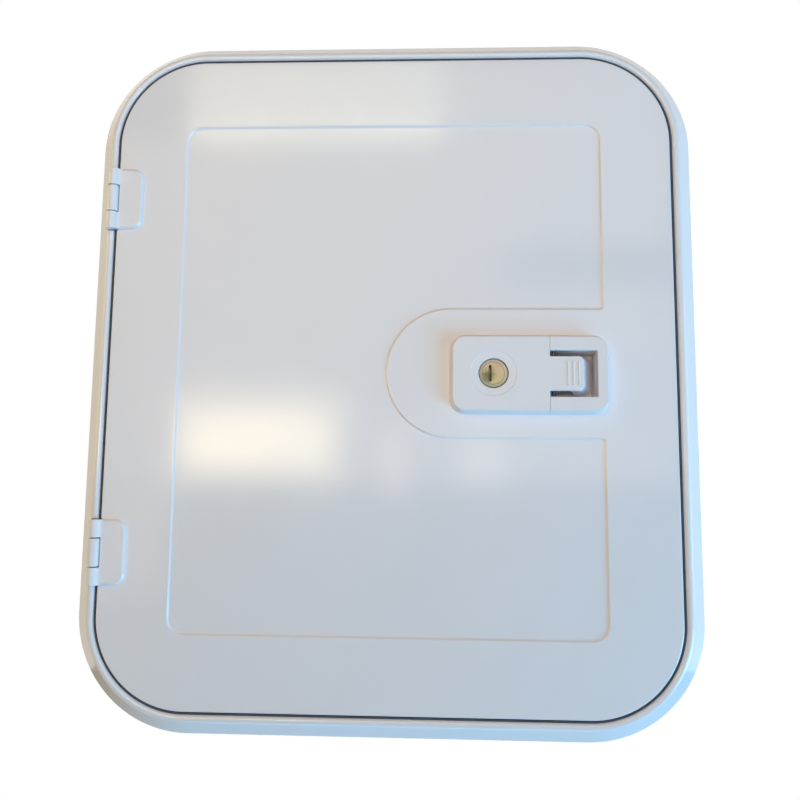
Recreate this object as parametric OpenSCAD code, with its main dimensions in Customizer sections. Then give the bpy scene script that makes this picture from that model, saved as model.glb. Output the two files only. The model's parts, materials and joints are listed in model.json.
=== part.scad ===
// Service hatch door for the side wall of a caravan: a white moulded frame, a hinged door with a
// sunk field, and a key-locked press latch. It is drawn lying on its back with the wall plane at
// z = 0 and the door's middle at the origin, and stand_up() sets each piece upright.

/* [Door] */
// Width of the door
door_w = 313.4; // [290:0.1:360]
// Height of the door
door_h = 364.4; // [340:0.1:440]
// Corner radius of the door
door_r = 49.5; // [44:0.5:60]
// Depth of the door's edge
door_edge_d = 14; // [12:0.5:20]
// Thickness of the door's face
skin_t = 3; // [2.5:0.1:4]
// Thickness of the door's edge wall
edge_t = 2.5; // [2:0.1:3]
// Radius of the rounded edge round the door's face
edge_round = 0.8; // [0.4:0.1:1.4]

/* [Sunk field] */
// Flat border between the field and the door's left and right edges
field_side = 38.6; // [36:0.1:44]
// Flat border between the field and the door's top and bottom edges
field_end = 39.4; // [36:0.1:50]
// Depth of the field below the border
field_d = 0.9; // [0.4:0.1:1.2]
// Corner radius of the field
field_r = 9; // [4:0.5:20]
// Width of the field's sloped edge
field_slope = 1.2; // [0.6:0.1:2]
// Radius of the raised tongue that carries the latch
tongue_r = 35.3; // [30:0.1:40]
// Distance from the latch's middle back to the centre of the tongue's round end
tongue_back = 42.4; // [36:0.1:50]

/* [Frame] */
// Clear gap between the door and the frame
seam = 1.5; // [1.2:0.1:3]
// Width of the rim from the opening to its outer edge
rim_w = 12.5; // [11:0.1:20]
// Height of the rim over the wall, level with the door's face
rim_h = 12; // [10:0.5:14]
// Radius of the rim's inner edge, beside the door
rim_round = 2; // [1:0.1:2.2]
// Width of the rim's crest, up to its slope
land_w = 3.4; // [3.2:0.1:5]
// Radius between the crest and the slope
crest_r = 2.8; // [1:0.1:3]
// Height of the rim's outer edge
lip_h = 1.1; // [0.8:0.1:3]
// Thickness of the frame's walls
frame_t = 2.5; // [2:0.1:3]
// Width of the ledge behind the door
ledge_w = 12; // [11:0.5:14]
// Thickness of the caravan wall that the frame clamps
wall_t = 28; // [24:1:45]
// Depth of the rebate in the trim frame that takes the end of the outer frame
rebate_d = 0.5; // [0.3:0.1:1]
// Radius of the trim frame's edges
trim_round = 1.5; // [0.5:0.1:2]

/* [Seal] */
// Width of the rubber seal
seal_w = 7; // [5:0.5:8]
// Thickness of the rubber seal
seal_t = 2; // [1.5:0.1:3]

/* [Liner] */
// Thickness of the door's liner
liner_t = 2.5; // [2:0.1:3]
// Gap between the liner and the edge wall around it
liner_gap = 0.3; // [0.2:0.1:1]
// Depth of the pan over the rest of the liner
pan_d = 5; // [3:0.5:6]
// Gap between the pan and the ledge around it
pan_gap = 6; // [5:0.5:12]
// Inward slope of the pan's walls over their depth
pan_draft = 1; // [0.5:0.1:3]

/* [Hinges] */
// Distance between the middles of the two hinges
hinge_span = 199; // [150:1:220]
// Length of a hinge
hinge_l = 35.4; // [30:0.1:44]
// Length of the frame's knuckle in the middle of a hinge
knuckle_l = 15; // [12:0.5:18]
// Radius of the hinge barrel
barrel_r = 3.2; // [3:0.1:3.6]
// Height of the hinge axis over the door's face
axis_up = 1.5; // [1.3:0.1:2.2]
// Distance of the hinge axis outside the frame's opening
axis_out = 0.8; // [0:0.1:1]
// Radius of the hinge pin
hinge_pin_r = 1.5; // [1:0.1:1.8]
// Reach of the leaf over the door, from the hinge axis
leaf_reach = 17.3; // [14:0.1:22]
// Thickness of the leaf
leaf_t = 2; // [1.6:0.1:2.6]
// Corner radius of the leaf
leaf_r = 6; // [3:0.5:8]
// Width of the bevel along the leaf's edge
leaf_bevel = 1.2; // [0.5:0.1:1.5]
// Gap at the ends and the side of the knuckles
knuckle_gap = 0.5; // [0.4:0.1:0.8]
// Depth of the frame's pocket under a hinge
pocket_d = 3.5; // [3:0.1:5]

/* [Latch] */
// Distance from the latch's middle to the door's right edge
latch_in = 79.9; // [76:0.1:90]
// Distance of the latch's middle over the door's middle
latch_y = -1; // [-4:0.1:4]
// Length of the latch block at its foot
block_l = 87; // [85:0.5:90]
// Height of the latch block at its foot
block_h = 44; // [42:0.5:48]
// Thickness of the latch block over the door's face
block_t = 6; // [5.5:0.1:8]
// Corner radius of the latch block at its foot
block_r = 8.7; // [7:0.1:12]
// Inset of the latch block's top from its foot
block_inset = 2.2; // [1.2:0.1:3]
// Distance of the parting line to the right of the latch's middle
parting_x = 10.6; // [8:0.1:12]
// Width of the bezel beyond the end of its window
bezel_end = 7.3; // [6:0.1:9]
// Width of the bezel above and below its window
bezel_side = 9.4; // [8.5:0.1:11]

/* [Latch tab] */
// Width of the slots above and below the tab
slot_w = 3.2; // [2.8:0.1:4]
// Distance from the end of the tab's flat top to the end of the window
tab_end = 7.5; // [6.5:0.1:9]
// Depth of the tab's nose below its top
nose_d = 10; // [8:0.1:11]
// Reach of the nose past the flat top
nose_reach = 5; // [3:0.1:6]
// Spread of the nose on each side of the tab
nose_spread = 1.9; // [1:0.1:2.4]
// Thickness of the tab's plate
tab_t = 2.4; // [2:0.1:3]
// Radius of the tab's pin
tab_pin_r = 1; // [0.8:0.1:1.2]
// Number of grip ribs on the tab
rib_n = 3; // [2:1:4]
// Distance between the grip ribs
rib_pitch = 2.9; // [2.4:0.1:3.4]
// Length of a grip rib
rib_l = 13.5; // [10:0.5:15]
// Depth of the dish under the tab, from the block's top
dish_d = 17; // [16:0.5:19]

/* [Lock] */
// Distance of the lock to the left of the latch's middle
lock_out = 19.7; // [18:0.1:22]
// Radius of the lock barrel's face
lock_r = 8; // [7:0.1:9]
// Depth of the lock's face below the block's top
lock_sink = 0.8; // [0.5:0.1:1.5]
// Radius of the shallow dish round the lock
lock_dish_r = 12.8; // [10:0.1:14]
// Radius of the key plug
plug_r = 6.2; // [5:0.1:6.4]
// Width of the key slot
key_slot_w = 1.2; // [1:0.1:2.6]
// Length of the key slot
key_slot_l = 8.8; // [6:0.1:10]
// Distance of the key slot to the left of the plug's middle
key_slot_out = 1.8; // [0:0.1:2.4]
// Depth of the key slot
key_slot_d = 6; // [4:0.5:8]
// Length of the lock barrel
lock_l = 20; // [18:0.5:22]

/* [Bolt] */
// Height of the latch bolt
bolt_h = 12; // [8:0.5:14]
// Thickness of the latch bolt
bolt_t = 4; // [3:0.1:4]
// Distance from the drawn bolt to the ledge's inner edge
bolt_back = 1.5; // [1.3:0.1:3]
// Height of the keeper plate on the ledge
keeper_h = 34; // [26:1:50]
// Thickness of the keeper plate
keeper_t = 1.5; // [1:0.1:1.5]

/* [Screws] */
// Radius of the frame screws
frame_screw_r = 1.5; // [1.2:0.1:1.75]
// Radius of the liner screws
liner_screw_r = 1.5; // [1.2:0.1:1.75]
// Radius of the latch and keeper screws
small_screw_r = 1.1; // [0.9:0.1:1.3]

/* [Hidden] */
$fn = 64;
EPS = 0.01;
LAP = 1;
running = 0.05;
fit = 0.3;

white = [0.9, 0.91, 0.93];
// The opening that the door fills, and the levels that follow from it
open_w = door_w + 2 * seam;
open_h = door_h + 2 * seam;
open_r = door_r + seam;
face_z = rim_h;
door_back = face_z - door_edge_d;
ledge_z = door_back - seal_t;
ledge_back = ledge_z - frame_t;
liner_z = door_back + liner_t;
pan_back = door_back - pan_d;
ledge_x = open_w / 2 - ledge_w;
// The row's origin lies on the back of the rim, midway along its bottom bar
middle_up = open_h / 2 + (frame_t + rim_w) / 2;
wall_end = -wall_t - rebate_d;
flange_back = -wall_t - frame_t;
// Hinges
axis_x = -(open_w / 2 + axis_out);
axis_z = face_z + axis_up;
hinge_places = [hinge_span / 2, -hinge_span / 2];
scoop_r = barrel_r + knuckle_gap;
web_d = pocket_d + 0.5;
// Latch block and its window
latch_x = door_w / 2 - latch_in;
tongue_x = latch_x - tongue_back;
block_z = face_z + block_t;
top_round = 0.6;
lock_x = latch_x - lock_out;
lock_z = block_z - lock_sink;
lock_dish_d = 0.4;
part_x = latch_x + parting_x;
window_x = latch_x + block_l / 2 - bezel_end;
window_l = window_x - part_x;
window_h = block_h - 2 * bezel_side;
dish_z = block_z - dish_d;
dish_t = 1.2;
// Bolt, its guide and the case behind the latch
bolt_z = ledge_back - keeper_t - 0.1;
bolt_tip = ledge_x - bolt_back;
bolt_in = 12;
guide_l = 17;
guide_side = 3;
case_t = 1.5;
case_back = bolt_z - bolt_t - case_t;
case_left = lock_x - lock_r - 4;
case_right = window_x + dish_t + fit + case_t;
case_h = window_h + 2 * (dish_t + fit + case_t);
lug_h = block_h - 2 * block_inset;
lug_t = 2;
cam_t = 2;
cam_l = 10;
cam_r = 4;
// Tab
tab_h = window_h - 2 * slot_w;
tab_tip = window_x - tab_end;
tab_corner = 3;
tab_root_r = 2.2;
tab_axis_x = part_x + fit + tab_root_r;
tab_axis_z = block_z - tab_root_r - 1.5;
nose_t = 7;
pin_l = block_h - bezel_side;
rib_w = 1.1;
rib_h = 0.5;
rib_in = 2.7;
// Screws
head_k = 1.8;
head_h = 1.3;
screw_spare = 0.3;
frame_bite = 13;
liner_bite = 5;
latch_bite = 3.7;
keeper_bite = 1.7;
boss_r = 3.5;
frame_screw_inset = 3.2;
frame_screw_places = concat(
    [for (s = [-1, 1], y = [-3, -1, 1, 3]) [s * (open_w / 2 - frame_screw_inset), y * open_h * 0.12]],
    [for (s = [-1, 1], x = [-1, 1]) [x * open_w * 0.22, s * (open_h / 2 - frame_screw_inset)]]);
liner_edge = edge_t + 5.5;
liner_screw_places = concat(
    [for (s = [-1, 1], y = [-1, 0, 1]) [s * (door_w / 2 - liner_edge), y * door_h * 0.3]],
    [for (s = [-1, 1], x = [-1, 1]) [x * door_w * 0.2, s * (door_h / 2 - liner_edge)]]);
latch_screw_places = [for (x = [lock_x, part_x + window_l / 2], y = [-1, 1])
    [x, latch_y + y * (case_h + lug_h) / 4]];
keeper_screw_places = [for (y = [-1, 1]) [open_w / 2 - ledge_w / 2, latch_y + y * keeper_h * 0.36]];

// Sets a piece drawn lying on its back upright, with the wall plane at y = 0
module stand_up() {
    translate([0, 0, middle_up]) rotate([90, 0, 0]) children();
}

// A flat outline from height z0 up to height z1
module layer(z0, z1) {
    translate([0, 0, z0]) linear_extrude(z1 - z0) children();
}

// Rectangle with round corners, about the origin
module rounded_rect(w, h, r) {
    square([w - 2 * r, h], center = true);
    square([w, h - 2 * r], center = true);
    for (x = [-1, 1], y = [-1, 1])
        translate([x * (w / 2 - r), y * (h / 2 - r)]) circle(r);
}

// Points along an arc about c, from angle a0 to angle a1
function arc(c, r, a0, a1, n = 4) =
    [for (i = [0:n]) c + r * [cos(a0 + (a1 - a0) * i / n), sin(a0 + (a1 - a0) * i / n)]];

// Sweeps a section round a rectangle with round corners: its x runs outward from the edge
module around(w, h, r) {
    for (turn = [0:3]) {
        side = turn % 2 == 0 ? [w, h] : [h, w];
        rotate([0, 0, 90 * turn]) {
            translate([side.x / 2 - r, side.y / 2 - r, 0]) rotate_extrude(angle = 90)
                translate([r, 0]) children();
            translate([side.x / 2, side.y / 2 - r, 0]) rotate([90, 0, 0])
                linear_extrude(side.y - 2 * r) children();
        }
    }
}

module round_opening() {
    around(open_w, open_h, open_r) children();
}

// A block with round corners from height z0 to z1, where it is narrower by inset on each side
module drafted(w, h, r, z0, z1, inset) {
    around(w, h, r) polygon([[-inset - LAP, z0], [0, z0], [-inset, z1], [-inset - LAP, z1]]);
    layer(min(z0, z1), max(z0, z1)) rounded_rect(w - 2 * inset, h - 2 * inset, r - inset);
}

// Section of the outer frame: the rim, the wall through the caravan's side and the ledge
module frame_section() {
    slope = atan2(rim_h - lip_h, rim_w - land_w);
    crest = [max(rim_round, land_w - crest_r * tan(slope / 2)), rim_h - crest_r];
    polygon(concat(
        arc([rim_round, rim_h - rim_round], rim_round, 180, 90),
        arc(crest, crest_r, 90, 90 - slope),
        [[rim_w, lip_h], [rim_w, 0], [frame_t, 0], [frame_t, wall_end], [0, wall_end],
            [0, ledge_back], [-ledge_w, ledge_back], [-ledge_w, ledge_z], [0, ledge_z]]));
}

// The frame's knuckle, with a web down to the rim
module frame_knuckle() {
    translate([axis_x, knuckle_l / 2, axis_z]) rotate([90, 0, 0]) cylinder(knuckle_l, r = barrel_r);
    translate([axis_x - barrel_r, -knuckle_l / 2, rim_h - web_d])
        cube([barrel_r + axis_out, knuckle_l, web_d + axis_up]);
}

module hinge_scoop(length) {
    translate([axis_x, length / 2, axis_z]) rotate([90, 0, 0]) cylinder(length, r = scoop_r);
}

// The frame's pocket, which leaves a deep gap at both ends of a hinge
module hinge_pocket() {
    half = hinge_l / 2 + knuckle_gap;
    translate([axis_x - barrel_r, -half, face_z - pocket_d])
        cube([barrel_r + axis_out + EPS, 2 * half, pocket_d + EPS]);
}

module hinge_bore() {
    half = (hinge_l + knuckle_gap) / 2;
    translate([axis_x, half, axis_z]) rotate([90, 0, 0]) cylinder(2 * half, r = hinge_pin_r + running);
}

module outer_frame() {
    color(white) difference() {
        union() {
            difference() {
                union() {
                    round_opening() frame_section();
                    for (p = frame_screw_places)
                        translate([p.x, p.y, wall_end]) cylinder(ledge_back - wall_end, r = boss_r);
                }
                for (y = hinge_places)
                    translate([0, y, 0]) {
                        hinge_scoop(hinge_l + 2 * knuckle_gap);
                        hinge_pocket();
                    }
            }
            for (y = hinge_places)
                translate([0, y, 0]) frame_knuckle();
        }
        for (y = hinge_places)
            translate([0, y, 0]) hinge_bore();
        for (p = frame_screw_places)
            translate([p.x, p.y, flange_back])
                cylinder(frame_t + frame_bite + screw_spare, r = frame_screw_r + running);
        for (p = keeper_screw_places)
            translate([p.x, p.y, ledge_back - EPS])
                cylinder(keeper_bite + screw_spare, r = small_screw_r + running);
    }
}

module door_seal() {
    r = seal_t / 2;
    color([0.05, 0.06, 0.09]) round_opening() translate([-fit, ledge_z])
        polygon(concat([[-seal_w, 0], [0, 0]], arc([-r, r], r, 0, 90), arc([r - seal_w, r], r, 90, 180)));
}

// Trim frame inside the caravan: its collar lines the opening and its flange clamps the wall
module inner_frame() {
    collar_x = -ledge_w + frame_t;
    collar_z = ledge_back - keeper_t - fit;
    edge_z = flange_back + trim_round;
    color(white) difference() {
        round_opening() polygon(concat(
            arc([trim_round - ledge_w, edge_z], trim_round, 180, 270),
            arc([rim_w - trim_round, edge_z], trim_round, 270, 360),
            [[rim_w, -wall_t], [frame_t + fit, -wall_t], [frame_t + fit, wall_end], [collar_x, wall_end],
                [collar_x, collar_z], [-ledge_w, collar_z]]));
        for (p = frame_screw_places)
            translate([p.x, p.y, flange_back - 1]) cylinder(frame_t + 2, r = frame_screw_r + running);
    }
}

// A round-headed screw with its head's seat at the origin and its shank upward
module screw(r, length) {
    cylinder(length, r = r);
    translate([0, 0, -head_h * r]) cylinder(head_h * r, r = head_k * r);
}

// The cone of a countersunk head, or of its seat with some clearance
module flat_head(r, clear = 0) {
    cylinder((head_k - 1) * r, head_k * r + clear, r + clear);
}

module frame_screws() {
    color("silver") for (p = frame_screw_places)
        translate([p.x, p.y, flange_back]) screw(frame_screw_r, frame_t + frame_bite);
}

module keeper() {
    color("silver") difference() {
        translate([ledge_x, latch_y - keeper_h / 2, ledge_back - keeper_t])
            cube([ledge_w - 5 * fit, keeper_h, keeper_t]);
        for (p = keeper_screw_places)
            translate([p.x, p.y, ledge_back - keeper_t - 1])
                cylinder(keeper_t + 2, r = small_screw_r + running);
    }
}

module keeper_screws() {
    color("silver") for (p = keeper_screw_places)
        translate([p.x, p.y, ledge_back - keeper_t]) screw(small_screw_r, keeper_t + keeper_bite);
}

module hinge_pin(y) {
    pin_l = hinge_l - 1;
    color("silver") translate([axis_x, y + pin_l / 2, axis_z]) rotate([90, 0, 0])
        cylinder(pin_l, r = hinge_pin_r);
}

// The raised tongue round the latch, with the same sloped edge as the field
module tongue() {
    d = 2 * field_d;
    half = [tongue_r + 2 * field_slope, tongue_r - 2 * field_slope];
    translate([tongue_x, 0, face_z]) {
        translate([0, 0, -d]) cylinder(2 * d, half[0], half[1]);
        rotate([90, 0, 90]) linear_extrude(door_w)
            polygon([[-half[0], -d], [half[0], -d], [half[1], d], [-half[1], d]]);
    }
}

// Recess of the sunk field: its sloped edge meets the face at the field's outline
module field_recess() {
    w = door_w - 2 * (field_side - field_slope);
    h = door_h - 2 * (field_end - field_slope);
    difference() {
        drafted(w, h, field_r + field_slope, face_z + field_d, face_z - field_d, 2 * field_slope);
        tongue();
    }
}

module door_panel() {
    color(white) difference() {
        union() {
            difference() {
                layer(door_back, face_z) rounded_rect(door_w, door_h, door_r);
                layer(door_back - 1, face_z - skin_t)
                    rounded_rect(door_w - 2 * edge_t, door_h - 2 * edge_t, door_r - edge_t);
            }
            for (p = liner_screw_places)
                translate([p.x, p.y, liner_z]) cylinder(face_z - skin_t - liner_z + EPS, r = boss_r);
        }
        around(door_w, door_h, door_r) translate([-edge_round, face_z - edge_round]) difference() {
            square(2 * edge_round);
            circle(edge_round);
        }
        field_recess();
        translate([case_left, latch_y - case_h / 2, 0]) cube([case_right - case_left, case_h, face_z + 1]);
        for (y = hinge_places)
            translate([0, y, 0]) hinge_scoop(hinge_l + 2 * knuckle_gap);
        for (p = liner_screw_places)
            translate([p.x, p.y, liner_z - EPS])
                cylinder(liner_bite + screw_spare, r = liner_screw_r + running);
        for (p = latch_screw_places)
            translate([p.x, p.y, 0]) cylinder(face_z + 1, r = small_screw_r + running);
    }
}

module door_liner() {
    pan_w = open_w - 2 * (ledge_w + pan_gap);
    pan_h = open_h - 2 * (ledge_w + pan_gap);
    pan_r = open_r - ledge_w - pan_gap;
    inset = edge_t + liner_gap;
    color([0.86, 0.87, 0.88]) difference() {
        union() {
            layer(door_back, liner_z) rounded_rect(door_w - 2 * inset, door_h - 2 * inset, door_r - inset);
            drafted(pan_w, pan_h, pan_r, liner_z, pan_back, pan_draft);
        }
        drafted(pan_w - 2 * liner_t, pan_h - 2 * liner_t, pan_r - liner_t, liner_z + 1,
            pan_back + liner_t, pan_draft);
        translate([case_left - fit, latch_y - case_h / 2 - fit, pan_back - 1])
            cube([case_right - case_left + 2 * fit, case_h + 2 * fit, liner_t + 2]);
        for (p = liner_screw_places)
            translate([p.x, p.y, door_back]) {
                translate([0, 0, -1]) cylinder(liner_t + 2, r = liner_screw_r + running);
                flat_head(liner_screw_r, running);
            }
    }
}

module liner_screws() {
    color("silver") for (p = liner_screw_places)
        translate([p.x, p.y, door_back]) {
            cylinder(liner_t + liner_bite, r = liner_screw_r);
            flat_head(liner_screw_r);
        }
}

// Hinge leaf with its two outer knuckles
module hinge_leaf(y) {
    side = barrel_r + knuckle_gap;
    leaf_z = face_z + leaf_t - leaf_bevel;
    color(white) translate([0, y, 0]) difference() {
        union() {
            intersection() {
                translate([axis_x, 0, 0]) {
                    layer(face_z, leaf_z) rounded_rect(2 * leaf_reach, hinge_l, leaf_r);
                    drafted(2 * leaf_reach, hinge_l, leaf_r, leaf_z, face_z + leaf_t, leaf_bevel);
                }
                translate([axis_x, -hinge_l / 2, face_z]) cube([leaf_reach, hinge_l, leaf_t]);
            }
            translate([axis_x, hinge_l / 2, axis_z]) rotate([90, 0, 0]) cylinder(hinge_l, r = barrel_r);
        }
        translate([axis_x - side, -knuckle_l / 2 - knuckle_gap, face_z - barrel_r])
            cube([2 * side, knuckle_l + 2 * knuckle_gap, 3 * barrel_r]);
        hinge_bore();
    }
}

// The whole latch block with its drafted sides, cut into cover and bezel along the parting line
module latch_block() {
    translate([latch_x, latch_y, face_z]) {
        around(block_l, block_h, block_r) polygon(concat(
            [[-block_inset - LAP, 0], [0, 0], [-0.35 * block_inset, 0.23 * block_t]],
            arc([-block_inset, block_t - top_round], top_round, 15, 90), [[-block_inset - LAP, block_t]]));
        layer(0, block_t)
            rounded_rect(block_l - 2 * block_inset, block_h - 2 * block_inset, block_r - block_inset);
    }
}

module latch_cover() {
    color(white) difference() {
        latch_block();
        translate([part_x, latch_y - block_h, 0]) cube([block_l, 2 * block_h, 2 * block_z]);
        translate([lock_x, latch_y, 0]) cylinder(block_z + 1, r = lock_r + 2 * running);
        translate([lock_x, latch_y, block_z - lock_dish_d])
            cylinder(2 * lock_dish_d, lock_r, 2 * lock_dish_r - lock_r);
        latch_screw_holes();
    }
}

module latch_screw_holes() {
    for (p = latch_screw_places)
        translate([p.x, p.y, face_z - EPS]) cylinder(latch_bite + screw_spare, r = small_screw_r + running);
}

// Solid box round the dish, from its left side and up to a height
module dish_box(left, top) {
    box_h = window_h + 2 * dish_t;
    translate([left, latch_y - box_h / 2, dish_z - dish_t])
        cube([window_x + dish_t - left, box_h, top - dish_z + dish_t]);
}

// U-shaped bezel round the tab, with the dish under it, whose left wall lies below the cover
module latch_bezel() {
    color(white) difference() {
        union() {
            intersection() {
                latch_block();
                translate([part_x, latch_y - block_h, 0]) cube([block_l, 2 * block_h, 2 * block_z]);
            }
            dish_box(part_x - dish_t, face_z - fit);
            dish_box(part_x, face_z + EPS);
        }
        translate([part_x, latch_y - window_h / 2, dish_z]) cube([window_l, window_h, dish_d + 1]);
        translate([part_x - 1, latch_y - window_h / 2, face_z - fit]) cube([window_l, window_h, dish_d]);
        translate([tab_axis_x, latch_y + pin_l / 2 + fit, tab_axis_z]) rotate([90, 0, 0])
            cylinder(pin_l + 2 * fit, r = tab_pin_r + running);
        latch_screw_holes();
    }
}

// Case behind the latch, open to the front, with screw lugs under the door's face
module latch_case() {
    case_l = case_right - case_left;
    color([0.8, 0.81, 0.82]) difference() {
        union() {
            translate([case_left, latch_y - case_h / 2, case_back])
                cube([case_l, case_h, face_z - case_back]);
            translate([case_left, latch_y - lug_h / 2, face_z - skin_t - lug_t]) cube([case_l, lug_h, lug_t]);
        }
        translate([case_left + case_t, latch_y - case_h / 2 + case_t, case_back + case_t])
            cube([case_l - 2 * case_t, case_h - 2 * case_t, face_z - case_back]);
        translate([latch_x, latch_y - bolt_h / 2 - fit, bolt_z - bolt_t])
            cube([case_l, bolt_h + 2 * fit, bolt_t + fit]);
        for (p = latch_screw_places)
            translate([p.x, p.y, 0]) cylinder(face_z, r = small_screw_r + running);
    }
}

module latch_screws() {
    color("silver") for (p = latch_screw_places)
        translate([p.x, p.y, face_z - skin_t - lug_t]) screw(small_screw_r, skin_t + lug_t + latch_bite);
}

// Bolt in its drawn-back place, with a slanted nose on the side that meets the ledge first
module latch_bolt() {
    color("silver") translate([0, latch_y + bolt_h / 2, 0]) rotate([90, 0, 0]) linear_extrude(bolt_h)
        polygon([[window_x - bolt_in, bolt_z], [bolt_tip, bolt_z], [bolt_tip, bolt_z - bolt_t / 4],
            [bolt_tip - 0.75 * bolt_t, bolt_z - bolt_t], [window_x - bolt_in, bolt_z - bolt_t]]);
}

module bolt_guide() {
    guide_h = bolt_h + 2 * guide_side;
    color([0.8, 0.81, 0.82]) difference() {
        translate([case_right, latch_y - guide_h / 2, case_back])
            cube([guide_l, guide_h, pan_back - case_back]);
        translate([case_right - 1, latch_y - bolt_h / 2 - fit, bolt_z - bolt_t - running])
            cube([guide_l + 2, bolt_h + 2 * fit, bolt_t + 2 * running]);
    }
}

module lock_barrel() {
    color("gainsboro") translate([lock_x, latch_y, lock_z - lock_l]) difference() {
        cylinder(lock_l, r = lock_r);
        translate([0, 0, -1]) cylinder(lock_l + 2, r = plug_r + running);
    }
}

module key_plug() {
    color("khaki") translate([lock_x, latch_y, lock_z - lock_l]) difference() {
        cylinder(lock_l, r = plug_r);
        translate([-key_slot_out - key_slot_w / 2, -key_slot_l / 2, lock_l - key_slot_d])
            cube([key_slot_w, key_slot_l, key_slot_d + 1]);
    }
}

module lock_cam() {
    color("silver") translate([lock_x, latch_y, lock_z - lock_l - cam_t]) {
        cylinder(cam_t, r = cam_r);
        translate([0, -cam_r, 0]) cube([cam_l, 2 * cam_r, cam_t]);
    }
}

// Press tab: a ribbed plate on a barrel, with a flared nose that reaches down into the dish
module latch_tab() {
    top_x = part_x + fit;
    nose_h = tab_h + 2 * nose_spread;
    color(white) difference() {
        union() {
            translate([top_x, latch_y - tab_h / 2, block_z - tab_t])
                cube([tab_tip - tab_corner - top_x, tab_h, tab_t]);
            translate([top_x, latch_y - tab_h / 2, tab_axis_z])
                cube([2 * tab_root_r, tab_h, block_z - tab_t - tab_axis_z + EPS]);
            translate([tab_axis_x, latch_y + tab_h / 2, tab_axis_z]) rotate([90, 0, 0])
                cylinder(tab_h, r = tab_root_r);
            hull() {
                translate([tab_tip - nose_t / 2, latch_y, 0]) layer(block_z - 1, block_z)
                    rounded_rect(nose_t, tab_h, tab_corner, $fn = 32);
                translate([tab_tip + nose_reach - nose_t / 2, latch_y, 0])
                    layer(block_z - nose_d, block_z - nose_d + 1)
                        rounded_rect(nose_t, nose_h, nose_t / 2 - EPS, $fn = 32);
            }
            for (i = [0:rib_n - 1])
                translate([tab_tip - rib_in - i * rib_pitch - rib_w / 2, latch_y - rib_l / 2, block_z - EPS])
                    cube([rib_w, rib_l, rib_h]);
        }
        translate([tab_axis_x, latch_y + block_h, tab_axis_z]) rotate([90, 0, 0])
            cylinder(2 * block_h, r = tab_pin_r + running);
    }
}

module tab_pin() {
    color("silver") translate([tab_axis_x, latch_y + pin_l / 2, tab_axis_z]) rotate([90, 0, 0])
        cylinder(pin_l, r = tab_pin_r);
}

stand_up() outer_frame();
stand_up() door_seal();
stand_up() inner_frame();
stand_up() frame_screws();
stand_up() keeper();
stand_up() keeper_screws();
stand_up() hinge_pin(hinge_places[0]);  // hinge_pin_top
stand_up() hinge_pin(hinge_places[1]);  // hinge_pin_bottom
stand_up() door_panel();
stand_up() door_liner();
stand_up() liner_screws();
stand_up() hinge_leaf(hinge_places[0]);  // hinge_leaf_top
stand_up() hinge_leaf(hinge_places[1]);  // hinge_leaf_bottom
stand_up() latch_bezel();
stand_up() latch_cover();
stand_up() latch_case();
stand_up() latch_screws();
stand_up() latch_bolt();
stand_up() bolt_guide();
stand_up() lock_barrel();
stand_up() key_plug();
stand_up() lock_cam();
stand_up() latch_tab();
stand_up() tab_pin();
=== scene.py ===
"""Looks of the caravan access door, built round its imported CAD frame.

Pieces are drawn lying on their back in plan millimetres: x to the right, y up from the
middle of the door and z outward from the wall. row() turns a plan point into the row frame.
"""

import json
import math

import bmesh
import bpy
from mathutils import Matrix, Vector
from mathutils.geometry import tessellate_polygon

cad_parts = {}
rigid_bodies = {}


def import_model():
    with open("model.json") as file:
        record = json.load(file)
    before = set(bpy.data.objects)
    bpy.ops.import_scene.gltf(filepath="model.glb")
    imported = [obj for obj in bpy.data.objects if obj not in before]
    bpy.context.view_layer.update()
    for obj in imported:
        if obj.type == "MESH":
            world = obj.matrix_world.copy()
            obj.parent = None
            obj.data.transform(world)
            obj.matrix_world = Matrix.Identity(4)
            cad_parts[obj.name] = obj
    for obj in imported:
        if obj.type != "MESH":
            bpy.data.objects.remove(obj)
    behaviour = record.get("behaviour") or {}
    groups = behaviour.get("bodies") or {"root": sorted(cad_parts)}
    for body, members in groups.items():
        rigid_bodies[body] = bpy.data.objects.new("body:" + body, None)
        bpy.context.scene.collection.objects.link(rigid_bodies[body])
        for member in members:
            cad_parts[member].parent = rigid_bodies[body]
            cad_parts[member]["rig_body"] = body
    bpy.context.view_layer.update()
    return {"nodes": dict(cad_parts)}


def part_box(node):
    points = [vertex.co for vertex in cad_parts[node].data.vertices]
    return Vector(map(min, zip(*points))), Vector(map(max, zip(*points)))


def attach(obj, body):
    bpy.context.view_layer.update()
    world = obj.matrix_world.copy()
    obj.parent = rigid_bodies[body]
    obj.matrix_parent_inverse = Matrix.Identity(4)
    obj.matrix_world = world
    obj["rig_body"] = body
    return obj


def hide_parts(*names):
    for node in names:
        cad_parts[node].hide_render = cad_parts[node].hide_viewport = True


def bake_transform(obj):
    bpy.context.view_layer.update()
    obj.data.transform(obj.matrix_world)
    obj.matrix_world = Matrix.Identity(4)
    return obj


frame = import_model()


def millimetres(node):
    """Lowest and highest plan corner of a CAD node."""
    low, high = (1000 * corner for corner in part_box(node))
    return (low.x, low.z, -high.y), (high.x, high.z, -low.y)


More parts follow.
